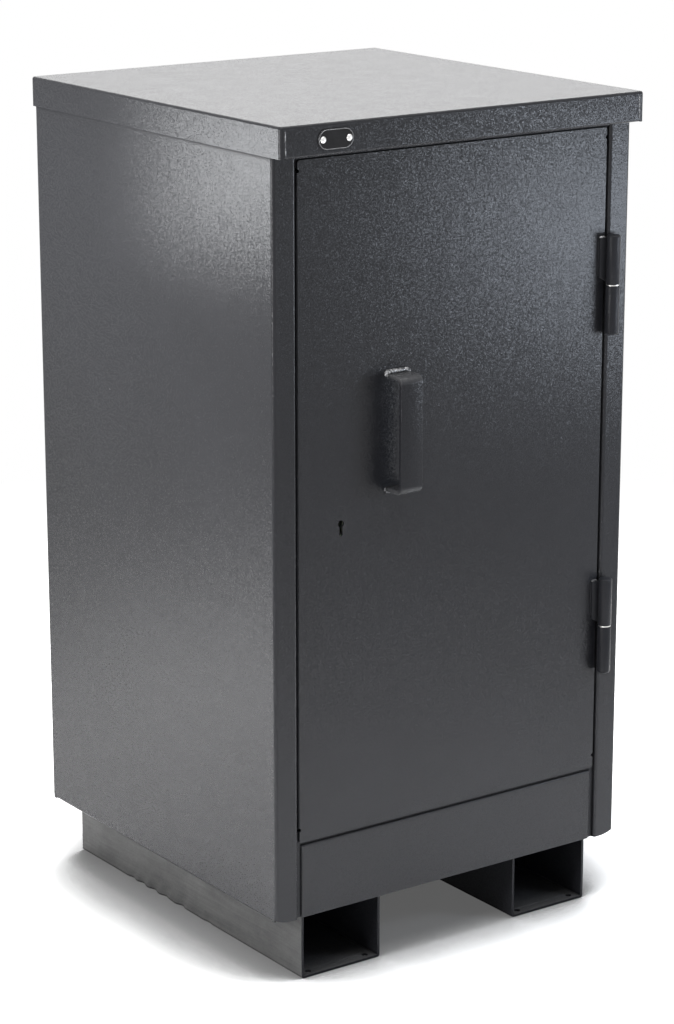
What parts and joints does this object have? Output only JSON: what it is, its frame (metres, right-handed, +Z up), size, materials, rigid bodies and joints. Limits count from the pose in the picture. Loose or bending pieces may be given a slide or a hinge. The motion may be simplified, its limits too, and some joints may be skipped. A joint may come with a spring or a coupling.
{
  "type": "site storage cabinet",
  "caption": "Upright steel site cabinet: folded carcass with an overhanging cap, a lockable door on lift-off hinges, shelves inside, and open fork skids.",
  "frame": {"origin": "on the ground, under the middle of the cabinet's outline", "axes": "+Z up, -Y to the front where the door is, +X to the right seen from the front"},
  "size_m": [0.5, 0.5264, 0.98],
  "materials": {
    "powder_coat": "textured anthracite powder coat",
    "zinc_plate": "zinc plated, dull",
    "bright_steel": "bare turned steel",
    "tag_metal": "dark anodised plate",
    "rivet_metal": "bright, domed"
  },
  "bodies": {
    "carcass": {"cap_lid": "powder_coat", "left_side_panel": "powder_coat", "right_side_panel": "powder_coat", "back_panel": "powder_coat", "floor_panel": "powder_coat", "header_panel": "powder_coat", "plinth_panel": "powder_coat", "left_skid": "powder_coat", "right_skid": "powder_coat", "upper_shelf": "powder_coat", "lower_shelf": "powder_coat", "upper_left_shelf_support": "powder_coat", "upper_right_shelf_support": "powder_coat", "lower_left_shelf_support": "powder_coat", "lower_right_shelf_support": "powder_coat", "bolt_keep": "powder_coat", "upper_hinge_frame_half": "powder_coat", "lower_hinge_frame_half": "powder_coat", "upper_hinge_pin": "bright_steel", "lower_hinge_pin": "bright_steel", "upper_hinge_washer": "bright_steel", "lower_hinge_washer": "bright_steel", "key_tag": "tag_metal", "key_tag_rivets": "rivet_metal"},
    "door": {"door_skin": "powder_coat", "door_handle": "powder_coat", "upper_door_stiffener": "powder_coat", "lower_door_stiffener": "powder_coat", "upper_hinge_door_half": "powder_coat", "lower_hinge_door_half": "powder_coat", "lock_case": "zinc_plate", "lock_cap": "zinc_plate", "lock_nuts": "zinc_plate"},
    "bolt": {"lock_bolt": "bright_steel"}
  },
  "joints": [
    {"name": "door_swing", "type": "hinge", "parent": "carcass", "child": "door", "pos_m": [0.219, -0.24355, 0], "axis": [0, 0, 1], "range_deg": [0, 180]},
    {"name": "lock_bolt_slide", "type": "slide", "parent": "door", "child": "bolt", "axis": [-1, 0, 0], "range_m": [0, 0.015]}
  ]
}
